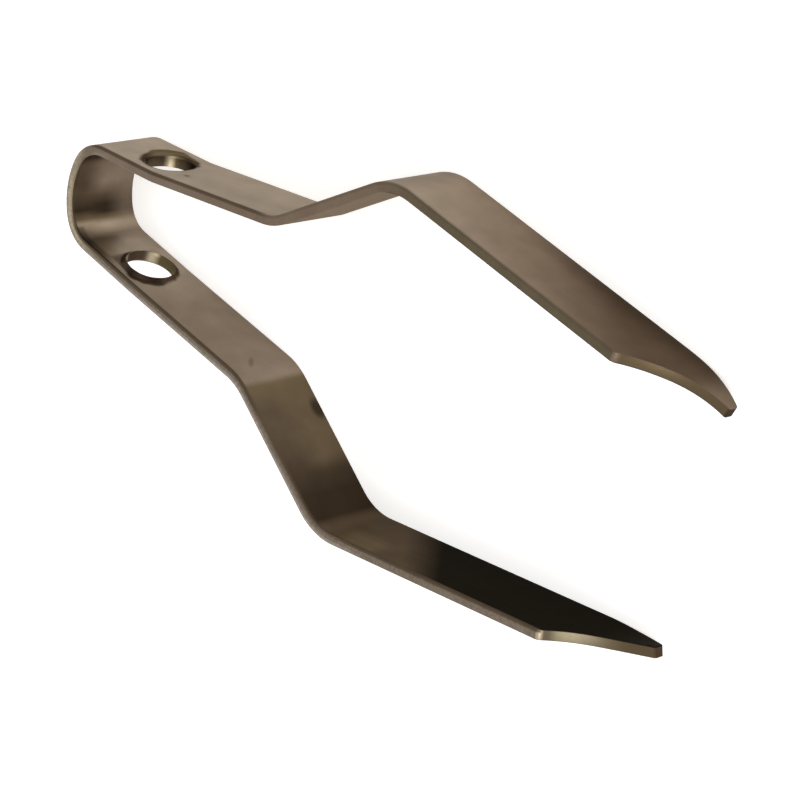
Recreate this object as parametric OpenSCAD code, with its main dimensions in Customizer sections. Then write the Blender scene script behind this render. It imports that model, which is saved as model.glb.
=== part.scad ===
// Connector lock removal tool: one flat metal strip bent into a narrow U.
// The strip lies on its far edges, as it rests on a table. Sizes in millimetres.
// X runs from the U-bend to the tips, Y from the lower arm to the upper arm, Z up across the strip.

/* [Strip] */
// Width of the strip, from the far edge on the table to the near edge
strip_w = 10; // [6:0.5:16]
// Thickness of the sheet
strip_t = 1.3; // [0.8:0.1:2]
// Rounding of the strip's long edges
edge_r = 0.3; // [0.1:0.05:0.35]

/* [U-bend] */
// Radius of the shallow back of the U-bend, at mid thickness
back_r = 10; // [6:0.5:16]
// Half of the angle that the back of the U-bend covers
back_half_deg = 21; // [10:1:35]
// Radius of the two rounder corners of the U-bend, at mid thickness
corner_r = 4.8; // [3:0.1:8]

/* [Handle] */
// Outward slope of the upper arm where it leaves the U-bend
root_up_deg = 3.3; // [0:0.1:7]
// Outward slope of the lower arm where it leaves the U-bend
root_low_deg = 9; // [8.2:0.1:12]
// Straight length from the U-bend to the slight bend at the hole
root_len = 9.6; // [9.2:0.1:14]
// Radius of the slight bend at the hole
kink_r = 8; // [5:0.5:20]
// Outward slope of the handle part of both arms
handle_deg = 8; // [7.2:0.1:8.6]
// Straight length of the handle part
handle_len = 20.5; // [12:0.5:30]

/* [Jaws] */
// Radius of the two bends that step each arm outwards, at mid thickness
step_r = 8; // [4:0.5:12]
// Outward slope of the stepped part
step_deg = 35; // [20:1:45]
// Straight length of the stepped part
step_len = 16.4; // [8:0.2:24]
// Inward slope of the jaws
jaw_deg = 8.5; // [4:0.5:10]
// Straight length of the jaws
jaw_len = 38.6; // [36:0.2:50]
// Radius of the inward curl at the end of the jaws
curl_r = 40; // [25:1:80]
// Angle of the inward curl
curl_deg = 10.5; // [6:0.5:14]

/* [Tips] */
// Distance along the jaw at which the cut in the near edge starts
cut_start = 33.9; // [28:0.1:35]
// Depth of the cut at the tip, from the near edge
cut_depth = 6.4; // [3:0.1:7]
// How far the cut's arc bows into the strip
cut_bow = 1.5; // [0.5:0.1:1.8]
// Flat on the corner where the cut starts
cut_corner = 0.6; // [0.3:0.05:1]
// Width of the blunt end of the tip
tip_w = 1.3; // [1:0.1:2]
// Distance along the jaw at which the far edge starts to round off
round_start = 35.9; // [30:0.1:37]
// Depth of the small flats on the corners of the blunt end
tip_corner = 0.35; // [0.1:0.05:0.4]

/* [Holes] */
// Radius of the round hole in each arm
hole_r = 3.2; // [2:0.1:3.4]
// Distance of the holes from the end of the U-bend
hole_at = 7.6; // [6:0.1:8.2]
// Height of the raised lip that punching left on the inner side
lip_h = 0.45; // [0.2:0.05:0.8]
// Width of the lip's sloping foot
lip_foot = 0.6; // [0.2:0.05:0.8]
// Flat width on top of the lip
lip_flat = 0.15; // [0.1:0.05:0.2]
// Rolled-in edge of the hole on the outer side
roll = 0.6; // [0.2:0.05:0.7]

/* [Colour] */
// Colour of the plated metal
metal_colour = [0.53, 0.48, 0.42];

/* [Hidden] */
$fn = 96;
jaw_total = jaw_len + curl_r * curl_deg * PI / 180;
cut_run = jaw_total - cut_start;
cut_chord = sqrt(cut_run * cut_run + cut_depth * cut_depth);
cut_r = cut_chord * cut_chord / (8 * cut_bow) + cut_bow / 2;
cut_lean = atan2(cut_depth, cut_run);
cut_half_angle = asin(cut_chord / 2 / cut_r);
cut_centre_off = cut_r - cut_bow;
cut_cx = (cut_start + jaw_total) / 2 + cut_centre_off * sin(cut_lean);
cut_cz = strip_w - cut_depth / 2 + cut_centre_off * cos(cut_lean);
cut_corner_deg = (cut_lean + cut_half_angle) / 2;
round_run = jaw_total - round_start;
round_rise = strip_w - cut_depth - tip_w;
round_r = (round_run * round_run + round_rise * round_rise) / (2 * round_rise);
tip_x = jaw_len + curl_r * sin(curl_deg);
reach = strip_t * 3;

// Where the ends of the bends lie, so that the part can be centred on its box.
function ahead(p, a, l) = [p[0] + l * cos(a), p[1] + l * sin(a)];
function swing(p, a, b, r) =
    let (s = b > a ? 1 : -1)
    [p[0] + s * r * (sin(b) - sin(a)), p[1] - s * r * (cos(b) - cos(a))];
function low_root(deg) = swing(swing([0, 0], 90, 90 - back_half_deg, back_r), 90 - back_half_deg, deg, corner_r);
function arm_kink(deg) = swing(ahead(low_root(deg), deg, root_len), deg, handle_deg, kink_r);
function arm_step(deg) = swing(ahead(arm_kink(deg), handle_deg, handle_len), handle_deg, step_deg, step_r);
function arm_top(deg) = ahead(arm_step(deg), step_deg, step_len);
function arm_jaw(deg) = swing(arm_top(deg), step_deg, -jaw_deg, step_r);
function arm_tip(deg) = swing(ahead(arm_jaw(deg), -jaw_deg, jaw_len), -jaw_deg, -jaw_deg - curl_deg, curl_r);
// The widest point of an arm is the crest of its second bend.
function arm_crest(deg) = swing(arm_top(deg), step_deg, 0, step_r)[1] + strip_t / 2;
tip_reach = strip_t / 2 * sin(jaw_deg + curl_deg);
x_end = max(arm_tip(root_up_deg)[0], arm_tip(root_low_deg)[0]) + tip_reach;
x_mid = (x_end - strip_t / 2) / 2;
y_mid = (arm_crest(root_up_deg) - arm_crest(root_low_deg)) / 2;

// Cross-section of the strip: X through the thickness, Y across the width.
module section() {
    translate([-strip_t / 2 + edge_r, 0]) square([strip_t - 2 * edge_r, strip_w]);
    translate([-strip_t / 2, edge_r]) square([strip_t, strip_w - 2 * edge_r]);
    for (x = [-strip_t / 2 + edge_r, strip_t / 2 - edge_r], y = [edge_r, strip_w - edge_r])
        translate([x, y]) circle(r = edge_r);
}

// A straight run, then what follows it.
module run(len) {
    rotate([90, 0, 90]) linear_extrude(len) section();
    translate([len, 0, 0]) children();
}

// An angle within 0.03 degrees of deg whose sine and cosine both end after six decimals.
// A bend turned by it meets the next piece face to face, with no sliver between them.
function even(deg) =
    let (steep = deg > 45,
         start = round((steep ? cos(deg) : sin(deg)) * 1000000),
         tried = [for (k = [start - 400 : start + 400]) let (o = sqrt(1 - k * k / 1e12) * 1000000) [abs(o - round(o)), k]],
         least = min([for (e = tried) e[0]]),
         k = [for (e = tried) if (e[0] == least) e[1]][0])
    steep ? acos(k / 1000000) : asin(k / 1000000);

// A piece of a ring about the origin, from the +Y side clockwise over an angle.
module ring_piece(r, deg) {
    far = 2 * r + strip_t;
    intersection() {
        rotate_extrude() translate([r, 0]) section();
        translate([0, -far, -1]) cube([far, 2 * far, strip_w + 2]);
        rotate(-even(deg)) translate([-far, -far, -1]) cube([far, 2 * far, strip_w + 2]);
    }
}

// A bend to the right at mid-thickness radius r, then what follows it.
module right(r, deg) {
    translate([0, -r, 0]) ring_piece(r, deg);
    translate([0, -r, 0]) rotate(-even(deg)) translate([0, r, 0]) children();
}

// A bend to the left.
module left(r, deg) {
    translate([0, r, 0]) mirror([0, 1, 0]) ring_piece(r, deg);
    translate([0, r, 0]) rotate(even(deg)) translate([0, -r, 0]) children();
}

// The slight bend at the hole goes outwards on the upper arm and inwards on the lower one.
module kink(deg) {
    if (handle_deg > deg) left(kink_r, handle_deg - deg) children();
    else right(kink_r, deg - handle_deg) children();
}

// What the blank leaves away at a tip, in the frame where the jaw starts.
module tip_waste() {
    // the concave cut in the near edge
    translate([cut_cx, 0, cut_cz]) rotate([90, 0, 0]) cylinder(h = 2 * reach + curl_r, r = cut_r, center = true);
    // the flat on the corner where it starts
    translate([cut_start, 0, strip_w]) rotate([0, cut_corner_deg, 0])
        translate([-5, -reach, -cut_corner / 2 * sin(cut_corner_deg)]) cube([10, 2 * reach, 5]);
    // the far edge, rounded towards the tip
    difference() {
        translate([round_start, -curl_r / 2, -1]) cube([round_run + 5, curl_r, round_rise + 1 + tip_w / 2]);
        translate([round_start, 0, round_r]) rotate([90, 0, 0]) cylinder(h = 2 * curl_r, r = round_r, center = true);
    }
    // the flats on the two corners of the blunt end
    translate([tip_x, 0, round_rise + tip_w / 2]) for (side = [0, 1]) mirror([0, 0, side])
        translate([0, -curl_r / 2, tip_w / 2]) rotate([0, 45, 0])
            translate([-tip_w, 0, -tip_corner * sin(45)]) cube([2 * tip_w, curl_r, tip_w]);
}

// The raised lip round a hole, in the frame of the hole's axis, inner side down.
module lip() {
    translate([0, 0, -strip_t / 2 - lip_h]) cylinder(h = lip_h + strip_t / 4, r1 = hole_r + lip_flat, r2 = hole_r + lip_flat + lip_foot * (lip_h + strip_t / 4) / lip_h);
}

// The hole and its rolled-in outer edge, which is a quarter of a ring's section.
module hole() {
    translate([0, 0, -reach]) cylinder(h = 2 * reach, r = hole_r);
    translate([0, 0, strip_t / 2 - roll]) difference() {
        cylinder(h = 2 * roll, r = hole_r + roll);
        rotate_extrude() translate([hole_r + roll, 0]) circle(r = roll);
    }
}

// One arm as a bent strip with its curled jaw, headed along +Y from the back of the U-bend.
module arm(root_deg) {
    rotate(90)
    right(back_r, back_half_deg)
    right(corner_r, 90 - back_half_deg - root_deg) {
        difference() {
            union() {
                run(root_len) kink(root_deg) run(handle_len) left(step_r, step_deg - handle_deg)
                run(step_len) right(step_r, step_deg + jaw_deg)
                difference() {
                    run(jaw_len) right(curl_r, curl_deg);
                    tip_waste();
                }
                translate([hole_at, 0, strip_w / 2]) rotate([-90, 0, 0]) lip();
            }
            translate([hole_at, 0, strip_w / 2]) rotate([-90, 0, 0]) hole();
        }
    }
}

module strip() color(metal_colour)
translate([-x_mid, -y_mid, 0]) {
    arm(root_up_deg);
    mirror([0, 1, 0]) arm(root_low_deg);
}

strip();
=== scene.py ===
"""Connector lock removal tool: one strip of plated spring steel, bent into a narrow U.

The blank is modelled flat, as it is stamped: cut to its outline, its two holes punched with a raised lip,
and its edges broken. It is then bent along the line that the tool follows.
"""

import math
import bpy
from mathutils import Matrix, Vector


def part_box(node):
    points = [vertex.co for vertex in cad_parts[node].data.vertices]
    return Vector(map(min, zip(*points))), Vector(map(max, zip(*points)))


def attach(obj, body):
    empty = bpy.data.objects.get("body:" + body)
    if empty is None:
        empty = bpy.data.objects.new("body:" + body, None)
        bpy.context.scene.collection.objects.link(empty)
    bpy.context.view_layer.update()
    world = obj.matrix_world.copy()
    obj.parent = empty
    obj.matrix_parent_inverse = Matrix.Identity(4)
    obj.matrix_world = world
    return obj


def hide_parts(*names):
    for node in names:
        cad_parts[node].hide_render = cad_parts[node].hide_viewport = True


bl_info = {
    "name": "Connector Lock Removal Tool",
    "version": (1, 0, 0),
    "blender": (4, 5, 0),
    "location": "View3D > Sidebar > Lock Tool",
    "description": "A bent steel strip that lifts connector locks, lying on its edges on a pale table",
    "category": "Object",
}

import bmesh
import bpy
from mathutils import Matrix, Vector, noise

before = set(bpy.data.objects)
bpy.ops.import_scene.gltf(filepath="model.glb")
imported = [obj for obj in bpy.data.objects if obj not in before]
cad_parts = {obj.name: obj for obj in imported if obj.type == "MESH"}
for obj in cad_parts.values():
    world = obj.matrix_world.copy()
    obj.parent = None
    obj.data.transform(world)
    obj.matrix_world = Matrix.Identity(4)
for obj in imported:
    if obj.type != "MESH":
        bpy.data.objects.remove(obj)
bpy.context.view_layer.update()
STRIP_LOW, STRIP_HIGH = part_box("strip")

MM = 0.001

# A length in metres that counts as none, and one so long that a pattern doesn't change along it
TINY = 1e-6
ENDLESS = 1000.0

# How many parts of an arm's line lie before its straight root, before its jaw and before its end
TO_ROOT = 2
TO_JAW = 8
TO_END = 10

# The least Z of its normal, up or down, that makes a face of the flat blank one of its two broad ones
BROAD = 0.9

# The finish reads the distance from a hole's wall up to this many millimetres
RIM_REACH = 5.0

# Each lamp's place and the side of its square in metres, and its energy in watts
LAMPS = {
    "side_lamp": ((0.25, 0.45, 0.7), 0.5, 1.2),
    "key_lamp": ((0.362, -0.132, 0.46), 0.25, 0.6),
}


def length(name, description, default):
    """A size in metres, as a property that the sidebar shows."""
    return bpy.props.FloatProperty(
        name=name, description=description, default=default, min=0.0, unit="LENGTH", precision=5
    )


def angle(name, description, degrees):
    """An angle, as a property that the sidebar shows."""
    return bpy.props.FloatProperty(
        name=name, description=description, default=math.radians(degrees), subtype="ANGLE"
    )


def colour(name, description, code):
    """An sRGB hex colour, as a property that the sidebar shows."""
    return bpy.props.StringProperty(name=name, description=description, default=code)


def fraction(name, description, default):
    """A share of one, as a property that the sidebar shows."""
    return bpy.props.FloatProperty(
        name=name, description=description, default=default, min=0.0, max=1.0, subtype="FACTOR"
    )


def amount(name, description, default):
    """A whole number, as a property that the sidebar shows."""
    return bpy.props.IntProperty(name=name, description=description, default=default, min=1)


def triple(name, description, values):
    """A length in metres along each axis, as a property that the sidebar shows."""
    return bpy.props.FloatVectorProperty(
        name=name, description=description, default=values, unit="LENGTH", precision=5
    )


def direction(name, description, values):
    """A direction, as a property that the sidebar shows."""
    return bpy.props.FloatVectorProperty(name=name, description=description, default=values, subtype="XYZ")


def camera_size(name, description, millimetres):
    """A size inside a camera, which is given in millimetres."""
    return bpy.props.FloatProperty(name=name, description=description, default=millimetres, unit="CAMERA")


class StripSizes(bpy.types.PropertyGroup):
    """The strip's section and the line that it is bent along."""

    width: length("Width", "Width of the strip, which stands on its far edge", STRIP_HIGH.z - STRIP_LOW.z)
    thickness: length("Thickness", "Thickness of the sheet", 1.3 * MM)
    edge_round: length("Edge rounding", "Rounding of the edges", 0.3 * MM)
    back_radius: length("Back radius", "Radius of the back of the U-bend, at mid thickness", 10 * MM)
    back_half: angle("Back half angle", "Half of the angle that the back of the U-bend covers", 21)
    corner_radius: length("Corner radius", "Radius of the U-bend's rounder corners", 4.8 * MM)
    upper_root: angle("Upper root slope", "Outward slope of the upper arm at the U-bend", 3.3)
    lower_root: angle("Lower root slope", "Outward slope of the lower arm at the U-bend", 9)
    root_length: length("Root length", "Straight length from the U-bend to the bend at the hole", 9.6 * MM)
    kink_radius: length("Kink radius", "Radius of the slight bend at the hole", 8 * MM)
    handle: angle("Handle slope", "Outward slope of the handle part", 8)
    handle_length: length("Handle length", "Straight length of the handle part", 20.5 * MM)
    step_radius: length("Step radius", "Radius of the two bends that step an arm outwards", 8 * MM)
    step: angle("Step slope", "Outward slope of the stepped part", 35)
    step_length: length("Step length", "Straight length of the stepped part", 16.4 * MM)
    jaw: angle("Jaw slope", "Inward slope of the jaws", 8.5)
    jaw_length: length("Jaw length", "Straight length of the jaws", 38.6 * MM)
    curl_radius: length("Curl radius", "Radius of the inward curl at a tip", 40 * MM)
    curl: angle("Curl angle", "Angle of the inward curl at a tip", 10.5)


class TipSizes(bpy.types.PropertyGroup):
    """The outline of a tip, measured along the jaw."""

    cut_start: length("Cut start", "Where the cut in the near edge starts", 33.9 * MM)
    cut_depth: length("Cut depth", "Depth of the cut at the tip", 6.4 * MM)
    cut_bow: length("Cut bow", "How far the cut's arc bows into the strip", 1.5 * MM)
    cut_corner: length("Cut corner", "Flat on the corner where the cut starts", 0.6 * MM)
    end_width: length("End width", "Width of the blunt end", 1.3 * MM)
    round_start: length("Round start", "Where the far edge starts to round off", 35.9 * MM)
    end_corner: length("End corner", "Rounding of the blunt end's corners", 0.36 * MM)


class HoleSizes(bpy.types.PropertyGroup):
    """The round hole in each arm."""

    radius: length("Radius", "Radius of the hole", 3.2 * MM)
    distance: length("Distance", "Distance of the hole from the end of the U-bend", 7.6 * MM)
    lip_height: length("Lip height", "Height of the raised lip on the inner side", 0.45 * MM)
    lip_foot: length("Lip foot", "Width of the lip's sloping foot", 0.6 * MM)
    lip_flat: length("Lip flat", "Flat width on top of the lip", 0.15 * MM)
    roll: length("Roll", "Rolled-in edge of the hole on the outer side", 0.6 * MM)
    ragged: fraction("Raggedness", "Share of the lip's height by which it rises and falls", 0.1)
    ragged_step: length("Ragged step", "Distance over which the lip rises or falls", 1.1111 * MM)


class MeshSizes(bpy.types.PropertyGroup):
    """How finely the blank is divided."""

    row: length("Row", "Spacing of the rows across the strip", 0.5 * MM)
    station: length("Station", "Spacing of the stations along the strip", 0.5 * MM)
    tip_station: length("Tip station", "Spacing of the stations along a tip", 0.25 * MM)
    window: length("Window", "Side of the square that is rebuilt round a hole", 8 * MM)
    rings: amount("Rings", "Rings of faces on the lip of a hole", 12)
    corner_segments: amount("Corner segments", "Segments in the rounding of a tip's corners", 3)
    edge_segments: amount("Edge segments", "Segments in the rounding of the edges", 5)
    sharp: angle("Sharp angle", "Angle from which an edge is shaded sharp", 35)


class FinishColours(bpy.types.PropertyGroup):
    """The finish's tones, in sRGB. Their changes over the strip are mostly painted reflection and painted
    shade, with painted highlights.
    """

    # The faces' tones from here to the black: their changes over the strip are painted reflection and
    # painted shade
    plain: colour("Handled plating", "The warm grey of the handled outer faces", "#A09282")
    dull: colour("Dull plating", "The duller inner faces of the handle", "#837465")
    # A painted highlight in the U-bend's lower corner
    band: colour("Bright band", "The rubbed band in the U-bend's lower corner", "#AC9C86")
    grey_brown: colour("Worn plating", "The browner plating on the outer faces of the jaws", "#7C6C5C")
    # The next four tones are painted reflection and painted shade on the inner faces
    olive: colour("Olive film", "The thin film on the stepped parts", "#665843")
    brown: colour("Brown film", "The thicker film beside the jaws' bends", "#544739")
    dark: colour("Dark film", "The darkest parts of the bends' inner faces", "#33291F")
    black: colour("Black film", "The nearly black film on the inner faces of the jaws", "#191613")
    # The tips' darker outer faces and the edges' lighter and browner sides are painted reflection and
    # painted light
    tip: colour("Tip", "The outer faces of the tips", "#58493C")
    edge: colour("Edge", "The sheared long edges", "#7D7163")
    edge_light: colour("Edge light", "The lighter side of the lower arm's near edge", "#A0958A")
    edge_brown: colour("Edge film", "The browner edges along the upper jaw", "#665B49")
    # A yellowish painted highlight, used again for the highlights in the hole walls
    bend_edge: colour("Bend edge", "The yellowish rubbed edge of the U-bend", "#B4A68A")
    hole_wall: colour("Hole wall", "The punched walls of the holes", "#5D5239")
    # Round the holes this is painted shade
    hole_ring: colour("Hole ring", "The dark rims round the holes and the dark ends of the tips", "#43362B")
    # A painted highlight where the lower tip's cut starts
    cut_start: colour("Cut start", "The pale start of the lower tip's cut", "#857B64")
    cut: colour("Cut", "The ground faces of the cut tips", "#736957")
    cut_end: colour("Cut end", "The duller ends of the cut faces", "#635540")
    glance: colour("Glance", "The tint of reflections at a glancing angle", "#B8B7B5")
    # The reflections' tint on the upper step's inner face
    step_glance: colour("Bare glance", "The same where the upper step has no film", "#A6998B")


# Real rolling lines are finer than these. They are drawn as coarse as they need to show.
ROLLING = (8.333 * MM, 0.25 * MM, 0.25 * MM)

# The speckle doesn't change across the strip: it only shows on the edges, which run along it
SPECKLE = (0.3846 * MM, ENDLESS, 0.5 * MM)


class PatternSizes(bpy.types.PropertyGroup):
    """The finish's patterns, with their sizes along the strip, across it and through it."""

    clouds: triple("Clouds", "Sizes of the soft clouds in the plating", [2.857 * MM] * 3)
    cloud_depth: fraction("Cloud depth", "How far the clouds spread the shade", 0.4)
    rolling: triple("Rolling lines", "Sizes of the lines that rolling leaves", ROLLING)
    rolling_height: length("Rolling height", "Height of the rolling lines", 0.004 * MM)
    bump: fraction("Bump", "Strength of the bump that the rolling lines give", 0.15)
    roughness: fraction("Roughness", "Mean roughness of the plating", 0.38)
    roughness_spread: fraction("Roughness spread", "How far the rolling lines spread the roughness", 0.16)
    speckle: triple("Speckle", "Sizes of the speckle on the sheared edges", SPECKLE)
    speckle_depth: fraction("Speckle depth", "How far the speckle spreads the shade of the edges", 0.3)
    ring: triple("Ring unevenness", "Sizes of the unevenness of the dark rings", [1.25 * MM] * 3)
    ring_depth: length("Ring depth", "How far the unevenness spreads the border of a ring", 0.6 * MM)


class StageSizes(bpy.types.PropertyGroup):
    """The table, the lights and the camera."""

    table_side: length("Table side", "Side of the pale table", 4.0)
    table: colour("Table", "Colour of the table", "#F4F3F1")
    table_roughness: fraction("Table roughness", "Roughness of the table", 0.9)
    table_glow: fraction("Table glow", "Strength of the table's lift to white", 0.5)
    world_strength: fraction("World strength", "Strength of the light from all round", 0.9)
    wall: direction("Wall", "The way to the middle of the darker wall", (-0.58, 0.71, 0.4))
    wall_start: fraction("Wall start", "Cosine of the angle from that way at which the wall starts", 0.75)
    wall_full: fraction("Wall full", "Cosine of the angle from that way at which the wall is darkest", 0.95)
    wall_darker: fraction("Wall darker", "How much darker the wall is than the rest", 0.75)
    lens: camera_size("Lens", "Focal length", 127.7)
    sensor: camera_size("Sensor", "Width of the sensor", 36.0)
    clip_start: length("Clip start", "Distance at which the camera starts to see", 0.01)
    camera_place: triple("Camera place", "Where the camera stands", (0.20975, 0.13456, 0.23584))
    camera_forward: direction(
        "Camera forward", "The way that the camera looks", (-0.60126, -0.41103, -0.68523))
    camera_up: direction(
        "Camera up", "The way that is up in the picture, as the camera is rolled",
        (-0.42042, 0.89199, -0.16616),
    )


GROUPS = {
    "strip_sizes": StripSizes,
    "tip_sizes": TipSizes,
    "hole_sizes": HoleSizes,
    "mesh_sizes": MeshSizes,
    "finish_colours": FinishColours,
    "pattern_sizes": PatternSizes,
    "stage_sizes": StageSizes,
}


# The line that the strip is bent along

def arm_line(sizes, root):
    """An arm's runs and bends from the back of the U-bend, as pairs of length and outward turn."""
    corner = math.pi / 2 - sizes.back_half - root
    kink = sizes.handle - root
    step_in = sizes.step - sizes.handle
    step_out = sizes.step + sizes.jaw
    return (
        (sizes.back_radius * sizes.back_half, -sizes.back_half),
        (sizes.corner_radius * corner, -corner),
        (sizes.root_length, 0.0),
        (sizes.kink_radius * abs(kink), kink),
        (sizes.handle_length, 0.0),
        (sizes.step_radius * step_in, step_in),
        (sizes.step_length, 0.0),
        (sizes.step_radius * step_out, -step_out),
        (sizes.jaw_length, 0.0),
        (sizes.curl_radius * sizes.curl, -sizes.curl),
    )


def run_before(line, parts):
    """Distance along an arm to where its first parts end."""
    return sum(part[0] for part in line[:parts])


def point_on(line, distance):
    """Mid-thickness point and heading at a distance along an arm that starts along +Y."""
    point = Vector((0.0, 0.0))
    heading = math.pi / 2
    for run, turn in line:
        done = min(distance, run)
        if turn and done > 0:
            radius = run / turn
            after = heading + turn * done / run
            point += radius * Vector((
                math.sin(after) - math.sin(heading), math.cos(heading) - math.cos(after),
            ))
            heading = after
        else:
            point += done * Vector((math.cos(heading), math.sin(heading)))
        distance -= done
        if distance <= 0:
            break
    return point, heading


class TipOutline:
    """The two long edges of a blank near its tip, by the distance along the jaw."""

    def __init__(self, strip, tip):
        self.width = strip.width
        self.total = strip.jaw_length + strip.curl_radius * strip.curl
        self.start = tip.cut_start
        run = self.total - tip.cut_start
        chord = math.hypot(run, tip.cut_depth)
        self.radius = chord ** 2 / (8 * tip.cut_bow) + tip.cut_bow / 2
        lean = math.atan2(tip.cut_depth, run)
        self.centre = Vector((
            (tip.cut_start + self.total) / 2 + (self.radius - tip.cut_bow) * math.sin(lean),
            strip.width - tip.cut_depth / 2 + (self.radius - tip.cut_bow) * math.cos(lean),
        ))
        self.facet = (lean + math.asin(chord / 2 / self.radius)) / 2
        self.facet_half = tip.cut_corner / 2
        self.round_start = tip.round_start
        rise = strip.width - tip.cut_depth - tip.end_width
        self.round_radius = ((self.total - tip.round_start) ** 2 + rise ** 2) / (2 * rise)

    def near(self, along):
        """Height of the near edge above the table."""
        past = along - self.start
        height = self.width - math.tan(self.facet) * max(past + self.facet_half, 0.0)
        if past > 0:
            reach = max(self.radius ** 2 - (along - self.centre.x) ** 2, 0.0)
            height = min(height, max(self.centre.y - math.sqrt(reach), 0.0))
        return height

    def far(self, along):
        """Height of the far edge above the table."""
        past = max(along - self.round_start, 0.0)
        return self.round_radius - math.sqrt(max(self.round_radius ** 2 - past ** 2, 0.0))


# The blank, modelled flat: X along the strip from the back of the U-bend, Y up across it,
# Z through the sheet with the outer face up

def even_steps(distance, spacing):
    """Equal steps of about the spacing that add up to the distance."""
    count = max(1, round(distance / spacing))
    return [distance / count] * count


def extrude_row(bm, row):
    """Extrudes a row of edges in place, and returns the new vertices and the new row."""
    made = bmesh.ops.extrude_edge_only(bm, edges=row)["geom"]
    fresh = {item for item in made if isinstance(item, bmesh.types.BMVert)}
    edges = [item for item in made if isinstance(item, bmesh.types.BMEdge)]
    return fresh, [edge for edge in edges if set(edge.verts) <= fresh]


def draw_out(bm, row, steps, way):
    """Draws a row of edges out along X in steps."""
    for step in steps:
        fresh, row = extrude_row(bm, row)
        bmesh.ops.translate(bm, verts=list(fresh), vec=(way * step, 0.0, 0.0))


def stations(tip, hole, mesh, line):
    """Steps along one arm of the blank, with a row of vertices on each side of the hole's window."""
    window = run_before(line, TO_ROOT) + hole.distance - mesh.window / 2
    cut = run_before(line, TO_JAW) + tip.cut_start - tip.cut_corner / 2
    end = run_before(line, TO_END)
    return (
        even_steps(window, mesh.station)
        + even_steps(mesh.window, mesh.row)
        + even_steps(cut - window - mesh.window, mesh.station)
        + even_steps(end - cut, mesh.tip_station)
    )


def punch_hole(bm, centre, hole, mesh):
    """Rebuilds the square round a hole as rings that narrow to the hole's rim."""
    half = mesh.window / 2
    slack = mesh.row / 4

    def inside(point, reach):
        return abs(point.x - centre.x) < reach and abs(point.y - centre.y) < reach

    waste = [face for face in bm.faces if inside(face.calc_center_median(), half)]
    bmesh.ops.delete(bm, geom=waste, context="FACES")
    border = [
        edge for edge in bm.edges
        if edge.is_boundary and all(inside(vert.co, half + slack) for vert in edge.verts)
    ]
    foot = hole.radius + hole.lip_flat + hole.lip_foot
    ring = border
    for number in range(mesh.rings + 1):
        radius = foot + (hole.radius - foot) * number / mesh.rings
        fresh, ring = extrude_row(bm, ring)
        for vert in fresh:
            vert.co = centre + (vert.co - centre).normalized() * radius


def form_rims(bm, centre, strip, hole):
    """Raises the lip on the inner side of a hole and rolls in its rim on the outer side."""
    half = strip.thickness / 2
    crest = hole.radius + hole.lip_flat
    foot = crest + hole.lip_foot
    for vert in bm.verts:
        off = vert.co - centre
        reach = math.hypot(off.x, off.y)
        if reach > foot + TINY:
            continue
        if vert.co.z < 0:
            rise = min(max((foot - reach) / hole.lip_foot, 0.0), 1.0)
            smooth = rise * rise * (3 - 2 * rise)
            ragged = 1 + hole.ragged * noise.noise(Vector((off.x, off.y, centre.x)) / hole.ragged_step)
            vert.co.z = -half - hole.lip_height * (rise + smooth) / 2 * ragged
        elif vert.co.z > 0:
            inward = min(max(hole.radius + hole.roll - reach, 0.0), hole.roll)
            vert.co.z = half - hole.roll + math.sqrt(max(hole.roll ** 2 - inward ** 2, 0.0))


def shape_tip(bm, line, way, outline):
    """Narrows an arm's tip to the outline that the blank is cut to."""
    jaw = run_before(line, TO_JAW)
    for vert in bm.verts:
        along = way * vert.co.x - jaw
        if along > outline.start - outline.facet_half - TINY:
            low = outline.far(along)
            high = outline.near(along)
            vert.co.y = low + vert.co.y / outline.width * (high - low)


def join_rows(bm, way, start, width):
    """Joins the rows beyond a distance along one arm, so that each station there is one face across."""
    rows = [
        edge for edge in bm.edges
        if len(edge.link_faces) == 2
        and min(way * vert.co.x for vert in edge.verts) > start
        and abs(edge.verts[0].co.y - edge.verts[1].co.y) < TINY
        and TINY < edge.verts[0].co.y < width - TINY
    ]
    bmesh.ops.dissolve_edges(bm, edges=rows, use_verts=True)


def thicken(bm, thickness):
    """Gives the flat sheet its thickness, half to each side."""
    bmesh.ops.translate(bm, verts=bm.verts[:], vec=(0.0, 0.0, thickness / 2))
    made = bmesh.ops.extrude_face_region(bm, geom=bm.faces[:])["geom"]
    lower = [item for item in made if isinstance(item, bmesh.types.BMVert)]
    bmesh.ops.translate(bm, verts=lower, vec=(0.0, 0.0, -thickness))
    bmesh.ops.recalc_face_normals(bm, faces=bm.faces[:])


def round_off(bm, edges, radius, segments):
    """Rounds edges with a bevel."""
    bmesh.ops.bevel(
        bm, geom=edges, offset=radius, offset_type="OFFSET", segments=segments, profile=0.5,
        affect="EDGES", material=-1, clamp_overlap=True,
    )


def middle(edge):
    """The middle of an edge."""
    return (edge.verts[0].co + edge.verts[1].co) / 2


def rims(bm):
    """The edges between the blank's broad faces and its sheared walls."""
    return [
        edge for edge in bm.edges
        if len(edge.link_faces) == 2 and sum(abs(face.normal.z) > BROAD for face in edge.link_faces) == 1
    ]


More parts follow.
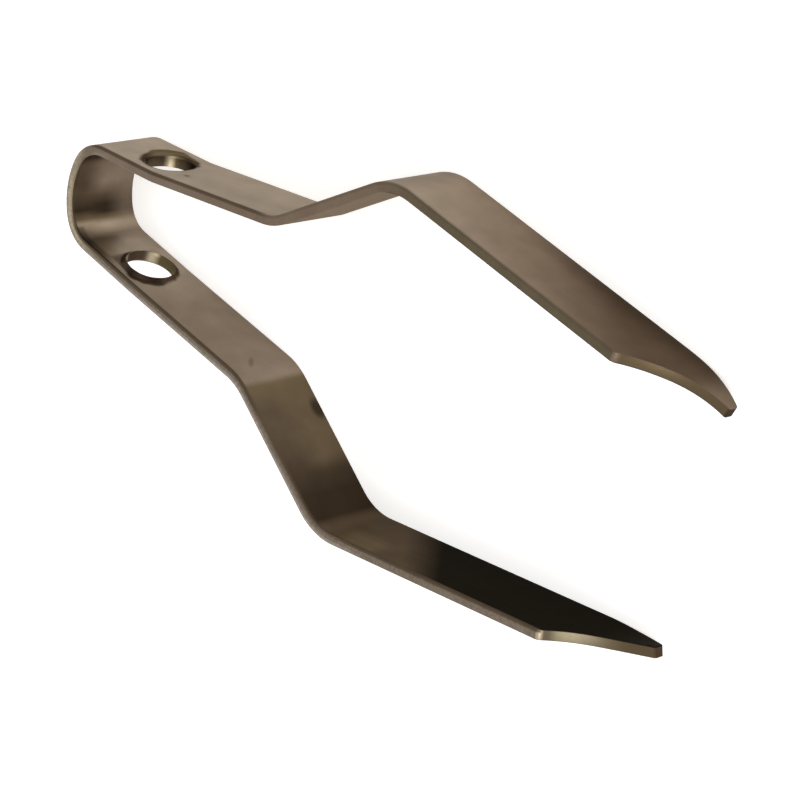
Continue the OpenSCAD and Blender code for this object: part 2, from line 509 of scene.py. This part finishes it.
def build_blank(strip, tip, hole, mesh, lines):
    """The flat blank as a closed solid, with its holes, its outline and its edges finished."""
    bm = bmesh.new()
    rows = round(strip.width / mesh.row)
    column = [bm.verts.new((0.0, strip.width * number / rows, 0.0)) for number in range(rows + 1)]
    first = [bm.edges.new(pair) for pair in zip(column, column[1:])]
    outline = TipOutline(strip, tip)
    arms = tuple(zip(lines, (1, -1)))
    for line, way in arms:
        draw_out(bm, first, stations(tip, hole, mesh, line), way)
    centres = [
        Vector((way * (run_before(line, TO_ROOT) + hole.distance), strip.width / 2, 0.0))
        for line, way in arms
    ]
    for centre in centres:
        punch_hole(bm, centre, hole, mesh)
    cut = tip.cut_start - tip.cut_corner / 2
    for line, way in arms:
        join_rows(bm, way, run_before(line, TO_JAW) + cut - TINY, strip.width)
        shape_tip(bm, line, way, outline)
    thicken(bm, strip.thickness)

    def from_end(edge):
        line = lines[0] if middle(edge).x >= 0 else lines[1]
        return run_before(line, TO_END) - abs(middle(edge).x)

    corners = [
        edge for edge in bm.edges
        if abs(edge.verts[0].co.z - edge.verts[1].co.z) > strip.thickness / 2 and from_end(edge) < TINY
    ]
    round_off(bm, corners, tip.end_corner, mesh.corner_segments)
    outer_rims = [
        edge for edge in rims(bm)
        if all((middle(edge) - centre).length > mesh.window / 2 for centre in centres)
    ]
    round_off(bm, outer_rims, strip.edge_round, mesh.edge_segments)
    for centre in centres:
        form_rims(bm, centre, strip, hole)
    return bm


def bend(bm, lines, hole, width):
    """Bends the flat blank along the line of each arm, and records where each vertex was while flat."""
    flat = bm.verts.layers.float_vector.new("flat")
    rim = bm.verts.layers.float.new("rim")
    left = bm.verts.layers.float.new("left")
    for vert in bm.verts:
        vert[flat] = vert.co.copy()
        way = 1 if vert.co.x >= 0 else -1
        line = lines[0] if way > 0 else lines[1]
        off = abs(vert.co.x) - run_before(line, TO_ROOT) - hole.distance
        vert[rim] = min((math.hypot(off, vert.co.y - width / 2) - hole.radius) / MM, RIM_REACH)
        vert[left] = way * (run_before(line, TO_END) - abs(vert.co.x)) / MM
        point, heading = point_on(line, abs(vert.co.x))
        out = Vector((-math.sin(heading), math.cos(heading))) * vert.co.z
        vert.co = Vector((point.x + out.x, way * (point.y + out.y), vert.co.y))
    bmesh.ops.recalc_face_normals(bm, faces=bm.faces[:])


def seat(bm):
    """Moves the bent strip to where the packed model's strip lies."""
    low = Vector([min(vert.co[axis] for vert in bm.verts) for axis in range(3)])
    high = Vector([max(vert.co[axis] for vert in bm.verts) for axis in range(3)])
    shift = ((STRIP_LOW + STRIP_HIGH) - (low + high)) / 2
    shift.z = STRIP_LOW.z - low.z
    bmesh.ops.translate(bm, verts=bm.verts[:], vec=shift)


# Materials

def linear(code):
    """Turns an sRGB hex colour into linear red, green, blue and alpha."""
    parts = [int(code[place:place + 2], 16) / 255 for place in (1, 3, 5)]
    return [part / 12.92 if part <= 0.04045 else ((part + 0.055) / 1.055) ** 2.4 for part in parts] + [1.0]


def add(tree, kind, inputs=None, **settings):
    """Adds a node, sets its properties, and fills its inputs with values or links."""
    node = tree.nodes.new(kind)
    for name, value in settings.items():
        setattr(node, name, value)
    for name, value in (inputs or {}).items():
        if isinstance(value, bpy.types.NodeSocket):
            tree.links.new(value, node.inputs[name])
        else:
            node.inputs[name].default_value = value
    return node


def mask(tree, *fades, strength=1.0):
    """A soft mask that has its full strength where all its fades are full.

    A fade is a value, where the fade starts and where it is full, which may lie either way.
    """
    for value, start, full in fades:
        inputs = {"Value": value, "From Min": start, "From Max": full}
        faded = add(tree, "ShaderNodeMapRange", inputs, interpolation_type="SMOOTHSTEP").outputs[0]
        strength = add(tree, "ShaderNodeMath", {0: strength, 1: faded}, operation="MULTIPLY").outputs[0]
    return strength


def between(value, start, end, soft):
    """Two fades that are full from the start to the end, with a soft slope outside them."""
    return (value, start - soft, start), (value, end + soft, end)


def lay(tree, under, over, *fades, strength=1.0):
    """Lays one colour over another where all the fades are full."""
    share = mask(tree, *fades, strength=strength)
    return add(tree, "ShaderNodeMix", {0: share, 6: under, 7: over}, data_type="RGBA").outputs[2]


def shaded(tree, tone, change):
    """A colour made lighter by a share of itself, or darker where the share is negative."""
    factor = add(tree, "ShaderNodeMath", {0: 1.0, 1: change}, operation="ADD").outputs[0]
    return add(tree, "ShaderNodeVectorMath", {0: tone, "Scale": factor}, operation="SCALE").outputs[0]


def bands(tree, place, stops):
    """Colours that follow one another along a distance, from pairs of millimetres and hex colour."""
    first, last = stops[0][0], stops[-1][0]
    share = add(tree, "ShaderNodeMapRange", {"Value": place, "From Min": first, "From Max": last})
    node = add(tree, "ShaderNodeValToRGB", {"Fac": share.outputs[0]})
    elements = node.color_ramp.elements
    while len(elements) < len(stops):
        elements.new(1.0)
    for element, (stop, code) in zip(elements, stops):
        element.position = (stop - first) / (last - first)
        element.color = linear(code)
    return node.outputs["Color"]


def grains(tree, flat, sizes, depth, detail, roughness=0.5):
    """Uneven grains of the given sizes, as a value about zero that spreads by a depth."""
    millimetres = [size / MM for size in sizes]
    place = add(tree, "ShaderNodeVectorMath", {0: flat, 1: millimetres}, operation="DIVIDE").outputs[0]
    inputs = {"Vector": place, "Scale": 1.0, "Detail": detail, "Roughness": roughness}
    level = add(tree, "ShaderNodeTexNoise", inputs).outputs[0]
    about_zero = add(tree, "ShaderNodeMath", {0: level, 1: 0.5}, operation="SUBTRACT").outputs[0]
    return add(tree, "ShaderNodeMath", {0: about_zero, 1: depth}, operation="MULTIPLY").outputs[0]


# The finish. Its nodes read where each point was on the flat blank, in millimetres:
# along: from the back of the U-bend, either way; signed: the same, negative on the lower arm
# up: from the far edge; out: from mid thickness, positive on the outer side
# rim: from the nearest hole's wall; left: what is left to the tip's end, negative on the lower arm
# side: out on the upper arm, and its opposite from the U-bend's back on down the lower one, because the
# side of the near edges with painted shade changes in between

def leaned(tree, along, up, slope):
    """Distance along an arm whose tone lines lean over on the jaw, and start to in the bend before it."""
    lean = mask(tree, (along, 58, 66), strength=-slope)
    return add(tree, "ShaderNodeMath", {0: up, 1: lean, 2: along}, operation="MULTIPLY_ADD").outputs[0]


def outer_tone(tree, tones, along, up):
    """The outer faces, browner towards the tips: painted reflection.

    Near the far edge they are lighter up to the middle of the jaws, as painted light, and darker beyond it,
    as painted shade.
    """
    tone = bands(tree, leaned(tree, along, up, 1.5), (
        (0, tones.plain), (41, tones.plain), (73, tones.grey_brown), (90, tones.tip), (112, tones.tip),
    ))
    # Painted shade along the jaws' far edges
    tone = lay(tree, tone, linear(tones.dark), (up, 4, 0.5), (along, 72, 94), strength=0.5)
    tone = lay(tree, tone, linear(tones.grey_brown), (along, 106, 111), strength=0.6)
    # Painted light near the far edge, up to the middle of the jaws
    return shaded(tree, tone, mask(tree, (up, 7, 1), (along, 92, 80), strength=0.22))


def upper_step(signed):
    """The fades of the upper arm's stepped part, whose inner face is spared the painted shade."""
    return between(signed, 41, 62, 1)


def bend_tone(tree, tones, signed, up):
    """The inner face of the U-bend, with bands of painted reflection and highlight that change towards the
    near edge, and a brown line of painted shade on it.
    """
    tone = bands(tree, signed, (
        (-14, tones.plain), (-10, tones.plain), (-7.8, tones.dull), (-6.4, tones.band),
        (-5.9, tones.band), (-4.9, tones.olive), (-4.1, tones.dark), (-2.9, tones.dark),
        (-1.7, tones.brown), (0.5, tones.dull), (14, tones.dull),
    ))
    near_tone = bands(tree, signed, (
        (-14, tones.plain), (-11, tones.band), (-8, tones.band), (-7, tones.plain), (-6.2, tones.band),
        (-5.6, tones.band), (-4.8, tones.olive), (-3.5, tones.dark), (-1, tones.brown), (0.5, tones.brown),
        (5, tones.dull), (12, tones.dull),
    ))
    tone = lay(tree, tone, linear(tones.dull), (up, 4.8, 0.6), strength=0.5)
    tone = lay(tree, tone, near_tone, (up, 4.5, 8.5))
    # Painted shade along the near edge
    return lay(
        tree, tone, linear(tones.brown), (up, 8.5, 9.2), *between(signed, -15, -6.2, 0.6), strength=0.6)


def handle_tone(tree, tones, along, up):
    """The inner faces of the handles and steps, where the painted shade starts, with an olive patch."""
    tone = bands(tree, along, (
        (0, tones.plain), (15, tones.plain), (25, tones.dull), (41.6, tones.dull), (42.4, tones.olive),
        (46, tones.brown), (50, tones.brown), (58, tones.dark), (61.5, tones.dark), (64, tones.brown),
    ))
    return lay(
        tree, tone, linear(tones.olive), (along, 42, 45), (along, 55.5, 53), (up, 8, 3), strength=0.6)


def jaw_tone(tree, tones, along, up):
    """The inner faces of the jaws, olive beside the bend and, as painted reflection, nearly black beyond
    it.
    """
    tone = bands(tree, leaned(tree, along, up, 0.88), (
        (58, tones.brown), (68, tones.brown), (74.3, tones.black), (112, tones.black),
    ))
    return lay(tree, tone, linear(tones.olive), (up, 5, 8), *between(along, 66.5, 70, 3), strength=0.9)


def inner_tone(tree, tones, signed, along, up):
    """The inner faces, from the U-bend to the tips, duller with painted reflection and painted shade."""
    tone = bend_tone(tree, tones, signed, up)
    tone = lay(tree, tone, handle_tone(tree, tones, along, up), (along, 11, 15))
    tone = lay(tree, tone, linear(tones.dull), *upper_step(signed))
    return lay(tree, tone, jaw_tone(tree, tones, along, up), (along, 61.5, 64))


def edge_tone(tree, tones, patterns, flat, signed, up, side, left):
    """The sheared edges, with painted light on one side and a yellowish painted highlight round the U-bend,
    and the faces of the cuts, with a painted highlight where the lower one starts.
    """
    tone = bands(tree, signed, (
        (-112, tones.edge), (-11, tones.edge), (-7, tones.bend_edge), (0, tones.bend_edge), (6, tones.dull),
        (22, tones.dull), (30, tones.grey_brown), (56, tones.grey_brown), (68, tones.edge_brown), (112, tones.edge_brown),
    ))
    # Painted light on one side of the near edges
    tone = lay(tree, tone, linear(tones.edge_light), (side, -0.05, -0.4), *between(signed, -64, 4, 8))
    rougher = mask(tree, (signed, 8, 2))
    depth = add(tree, "ShaderNodeMath", {0: rougher, 1: patterns.speckle_depth}, operation="ADD").outputs[0]
    tone = shaded(tree, tone, grains(tree, flat, patterns.speckle, depth, detail=4.0, roughness=0.6))
    # The cuts' faces: a painted highlight where the lower one starts, duller towards the ends
    cut = bands(tree, left, (
        (-12.3, tones.band), (-11.9, tones.band), (-11.6, tones.edge_brown), (-11.2, tones.edge_brown),
        (-10.6, tones.cut_start), (-9.8, tones.cut_start), (-8.2, tones.cut), (-4, tones.cut_end),
        (11.4, tones.cut_end), (12.3, tones.grey_brown),
    ))
    to_end = add(tree, "ShaderNodeMath", {0: left}, operation="ABSOLUTE").outputs[0]
    tone = lay(tree, tone, cut, (to_end, 12.4, 12.3), (up, 2.2, 2.4))
    return lay(tree, tone, linear(tones.hole_ring), (to_end, 0.4, 0.1))


def dark_line(tree, tones, tone, signed, up, side):
    """Paints shade on one side of the near edges, less in the U-bend, on the steps and along the upper jaw.
    """
    strength = 0.9
    for weaker, fades in (
        (0.6, [(signed, 38, 42)]), (0.6, between(signed, -3, 4, 3)), (0.4, between(signed, -65, -47, 3)),
    ):
        share = mask(tree, *fades, strength=weaker)
        strength = add(tree, "ShaderNodeMath", {0: strength, 1: share}, operation="SUBTRACT").outputs[0]
    return lay(tree, tone, linear(tones.brown), (side, 0.12, 0.4), (up, 9.68, 9.75), strength=strength)


def hole_rings(tree, tones, patterns, tone, flat, signed, up, rim):
    """Paints shade in an uneven ring round each hole, olive on part of the upper arm.

    It is wider towards the jaw on the lower arm, and towards the U-bend on the upper one.
    """
    reach = rim
    for wider in (
        grains(tree, flat, patterns.ring, patterns.ring_depth / MM, detail=1.0),
        mask(tree, (signed, -15, -18), (up, 4.5, 7), strength=0.65),
        mask(tree, *between(signed, 5, 14, 3), (up, 6.5, 3.5), strength=0.9),
    ):
        reach = add(tree, "ShaderNodeMath", {0: reach, 1: wider}, operation="SUBTRACT").outputs[0]
    fainter = mask(tree, *between(signed, -14.5, -5, 2.5), strength=0.7)
    strength = add(tree, "ShaderNodeMath", {0: 1.0, 1: fainter}, operation="SUBTRACT").outputs[0]
    ring = lay(
        tree, linear(tones.hole_ring), linear(tones.olive), *between(signed, 5, 15.5, 4), (up, 6.5, 4))
    return lay(tree, tone, ring, (reach, 0.95, 0.35), strength=strength)


def wall_tone(tree, tones, signed):
    """The punched walls of the holes, olive, and darkened to brown by painted reflection, with a pale line
    of painted highlight in each.
    """
    return bands(tree, signed, (
        (-20, tones.hole_wall), (-14.8, tones.hole_wall), (-14.1, tones.bend_edge),
        (-13.8, tones.bend_edge), (-13.4, tones.hole_ring), (13.9, tones.brown), (14.4, tones.bend_edge),
        (15, tones.hole_wall), (16.6, tones.hole_ring), (20, tones.hole_ring),
    ))


# Each mark's centre on the flat blank and its half sizes in millimetres, its lean in degrees, and the
# share that it darkens by. A negative share lightens. The last half size goes into the sheet, so that a
# mark stays on its own face.
MARKS = {
    "pit_by_the_upper_hole": ((22.6, 7.1, 0.65), (0.65, 0.5, 0.4), 0.0, 0.6),
    "rub_on_the_lower_handle": ((-38.8, 6.2, -0.65), (1.6, 0.5, 0.4), -44.0, 0.3),
    "spot_on_the_lower_step": ((-47.0, 0.6, -0.65), (2.0, 1.4, 0.4), 0.0, 0.65),
    # A painted highlight on the lower hole's lip
    "painted_glint_on_the_lower_lip": ((-14.5, 2.35, -0.95), (0.7, 0.5, 0.4), 35.0, -0.7),
}


def marks(tree, flat):
    """The share by which the small marks lighten a point, which is negative where they darken it."""
    total = 0.0
    for name, (centre, halves, lean, darker) in MARKS.items():
        local = add(tree, "ShaderNodeMapping", {
            "Vector": flat, "Location": centre, "Rotation": (0.0, 0.0, math.radians(lean)), "Scale": halves,
        }, vector_type="TEXTURE", label=name).outputs[0]
        reach = add(tree, "ShaderNodeVectorMath", {0: local}, operation="LENGTH").outputs["Value"]
        change = mask(tree, (reach, 1.0, 0.3), strength=-darker)
        total = add(tree, "ShaderNodeMath", {0: total, 1: change}, operation="ADD").outputs[0]
    return total


def new_material(name):
    """A new material with its node tree and its shader."""
    material = bpy.data.materials.new(name)
    material.use_nodes = True
    return material, material.node_tree, material.node_tree.nodes["Principled BSDF"]


def plated_spring_steel(tones, patterns):
    """Spring steel with a dull nickel plating: a warm grey, soft reflection. Its base colour carries
    painted reflection, painted shade and painted highlights.
    """
    material, tree, shader = new_material("plated_spring_steel")
    stored, rim, left = (
        add(tree, "ShaderNodeAttribute", attribute_name=name, attribute_type="GEOMETRY").outputs[output]
        for name, output in (("flat", "Vector"), ("rim", "Fac"), ("left", "Fac"))
    )
    flat = add(tree, "ShaderNodeVectorMath", {0: stored, "Scale": 1 / MM}, operation="SCALE").outputs[0]
    signed, up, out = add(tree, "ShaderNodeSeparateXYZ", {0: flat}).outputs
    along, depth = (
        add(tree, "ShaderNodeMath", {0: value}, operation="ABSOLUTE").outputs[0] for value in (signed, out)
    )
    twice = mask(tree, (signed, 4, 9), strength=2.0)
    way = add(tree, "ShaderNodeMath", {0: twice, 1: 1.0}, operation="SUBTRACT").outputs[0]
    side = add(tree, "ShaderNodeMath", {0: out, 1: way}, operation="MULTIPLY").outputs[0]

    inner = inner_tone(tree, tones, signed, along, up)
    outer = outer_tone(tree, tones, along, up)
    edges = edge_tone(tree, tones, patterns, flat, signed, up, side, left)
    tone = lay(tree, inner, outer, (out, -0.3, 0.3))
    tone = lay(tree, tone, edges, (depth, 0.63, 0.52))
    tone = dark_line(tree, tones, tone, signed, up, side)
    tone = hole_rings(tree, tones, patterns, tone, flat, signed, up, rim)
    tone = lay(tree, tone, wall_tone(tree, tones, signed), (rim, 0.12, 0.02))
    tone = shaded(tree, tone, grains(tree, flat, patterns.clouds, patterns.cloud_depth, detail=3.0))
    tree.links.new(shaded(tree, tone, marks(tree, flat)), shader.inputs["Base Color"])

    shader.inputs["Metallic"].default_value = 1.0
    grain = grains(tree, flat, patterns.rolling, 1.0, detail=4.0)
    uneven = {0: grain, 1: patterns.roughness_spread, 2: patterns.roughness}
    rough = add(tree, "ShaderNodeMath", uneven, operation="MULTIPLY_ADD").outputs[0]
    tree.links.new(rough, shader.inputs["Roughness"])
    relief = {"Height": grain, "Strength": patterns.bump, "Distance": patterns.rolling_height}
    tree.links.new(add(tree, "ShaderNodeBump", relief).outputs[0], shader.inputs["Normal"])
    glance = lay(
        tree, linear(tones.glance), linear(tones.step_glance), (out, -0.3, -0.6), *upper_step(signed))
    tree.links.new(glance, shader.inputs["Specular Tint"])
    return material


def pale_table(sizes):
    """Matt white card: it lifts to white for the eye and in reflections, and keeps a faint shadow."""
    material, tree, shader = new_material("pale_table")
    shader.inputs["Base Color"].default_value = linear(sizes.table)
    shader.inputs["Roughness"].default_value = sizes.table_roughness
    rays = add(tree, "ShaderNodeLightPath").outputs
    seen = rays["Is Camera Ray"]
    for ray in ("Is Glossy Ray", "Is Transmission Ray"):
        seen = add(tree, "ShaderNodeMath", {0: seen, 1: rays[ray]}, operation="MAXIMUM").outputs[0]
    lift = add(tree, "ShaderNodeMath", {0: seen, 1: sizes.table_glow}, operation="MULTIPLY").outputs[0]
    shader.inputs["Emission Color"].default_value = linear(sizes.table)
    tree.links.new(lift, shader.inputs["Emission Strength"])
    return material


def add_object(scene, bm, name, material):
    """Puts a finished mesh into the scene as an object with a material."""
    data = bpy.data.meshes.new(name)
    bm.to_mesh(data)
    bm.free()
    data.materials.append(material)
    made = bpy.data.objects.new(name, data)
    scene.collection.objects.link(made)
    return made


class LOCKTOOL_OT_strip(bpy.types.Operator):
    """Models the blank flat, bends it and lays it where the packed strip lies"""

    bl_idname = "lock_tool.strip"
    bl_label = "Bent Strip"

    def execute(self, context):
        scene = context.scene
        strip, tip, hole, mesh = scene.strip_sizes, scene.tip_sizes, scene.hole_sizes, scene.mesh_sizes
        lines = (arm_line(strip, strip.upper_root), arm_line(strip, strip.lower_root))
        bm = build_blank(strip, tip, hole, mesh, lines)
        bend(bm, lines, hole, strip.width)
        seat(bm)
        steel = plated_spring_steel(scene.finish_colours, scene.pattern_sizes)
        piece = add_object(scene, bm, "bent_strip", steel)
        piece.data.polygons.foreach_set("use_smooth", [True] * len(piece.data.polygons))
        piece.data.set_sharp_from_angle(angle=mesh.sharp)
        weighted = piece.modifiers.new("flat_faces", "WEIGHTED_NORMAL")
        weighted.keep_sharp = True
        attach(piece, "root")
        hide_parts("strip")
        return {"FINISHED"}


class LOCKTOOL_OT_stage(bpy.types.Operator):
    """Lays the pale table and sets the soft lights and the camera"""

    bl_idname = "lock_tool.stage"
    bl_label = "Stage"

    def execute(self, context):
        scene = context.scene
        sizes = scene.stage_sizes
        bm = bmesh.new()
        bmesh.ops.create_grid(bm, x_segments=1, y_segments=1, size=sizes.table_side / 2)
        table = add_object(scene, bm, "table", pale_table(sizes))
        self.light(scene, sizes)
        for name, (place, side, energy) in LAMPS.items():
            self.lamp(scene, name, place, side, energy)
        self.camera(scene, sizes)
        scene.view_settings.view_transform = "Standard"
        return {"FINISHED"}

    def light(self, scene, sizes):
        """A white world with a darker wall low down behind the upper arm."""
        world = bpy.data.worlds.new("studio")
        world.use_nodes = True
        scene.world = world
        tree = world.node_tree
        way = add(tree, "ShaderNodeTexCoord").outputs["Generated"]
        facing = add(tree, "ShaderNodeVectorMath", {
            0: way, 1: Vector(sizes.wall).normalized(),
        }, operation="DOT_PRODUCT").outputs["Value"]
        darker = mask(tree, (facing, sizes.wall_start, sizes.wall_full), strength=sizes.wall_darker)
        grey = add(tree, "ShaderNodeMath", {0: 1.0, 1: darker}, operation="SUBTRACT").outputs[0]
        background = tree.nodes["Background"]
        tree.links.new(grey, background.inputs["Color"])
        background.inputs["Strength"].default_value = sizes.world_strength

    def lamp(self, scene, name, place, side, energy):
        """A square soft lamp that faces the tool."""
        data = bpy.data.lights.new(name, "AREA")
        data.shape = "SQUARE"
        data.size = side
        data.energy = energy
        holder = bpy.data.objects.new(name, data)
        holder.location = place
        holder.rotation_euler = Vector(place).to_track_quat("Z", "Y").to_euler()
        scene.collection.objects.link(holder)

    def camera(self, scene, sizes):
        """The camera at the photograph's angle, rolled as it was."""
        data = bpy.data.cameras.new("camera")
        data.lens = sizes.lens
        data.sensor_width = sizes.sensor
        data.clip_start = sizes.clip_start
        camera = bpy.data.objects.new("camera", data)
        forward = Vector(sizes.camera_forward).normalized()
        up = Vector(sizes.camera_up)
        up = (up - forward * up.dot(forward)).normalized()
        turn = Matrix((forward.cross(up), up, -forward)).transposed()
        camera.matrix_world = Matrix.Translation(Vector(sizes.camera_place)) @ turn.to_4x4()
        scene.collection.objects.link(camera)
        scene.camera = camera


class LOCKTOOL_PT_sidebar(bpy.types.Panel):
    """Lists the tool's pieces and sizes"""

    bl_idname = "LOCKTOOL_PT_sidebar"
    bl_label = "Lock Tool"
    bl_space_type = "VIEW_3D"
    bl_region_type = "UI"
    bl_category = "Lock Tool"

    def draw(self, context):
        layout = self.layout
        for operator in OPERATORS:
            layout.operator(operator.bl_idname)
        for name, group in GROUPS.items():
            box = layout.box()
            box.label(text=group.__doc__)
            for field in group.__annotations__:
                box.prop(getattr(context.scene, name), field)


OPERATORS = (LOCKTOOL_OT_stage, LOCKTOOL_OT_strip)
CLASSES = tuple(GROUPS.values()) + OPERATORS + (LOCKTOOL_PT_sidebar,)


def register():
    """Registers the classes and hangs the sizes on the scene."""
    for item in CLASSES:
        bpy.utils.register_class(item)
    for name, group in GROUPS.items():
        setattr(bpy.types.Scene, name, bpy.props.PointerProperty(type=group))


def unregister():
    """Takes the sizes and the classes away again."""
    for name in GROUPS:
        delattr(bpy.types.Scene, name)
    for item in reversed(CLASSES):
        bpy.utils.unregister_class(item)


def main():
    """Builds the stage and the tool."""
    register()
    bpy.ops.lock_tool.stage()
    bpy.ops.lock_tool.strip()


if __name__ == "__main__":
    main()
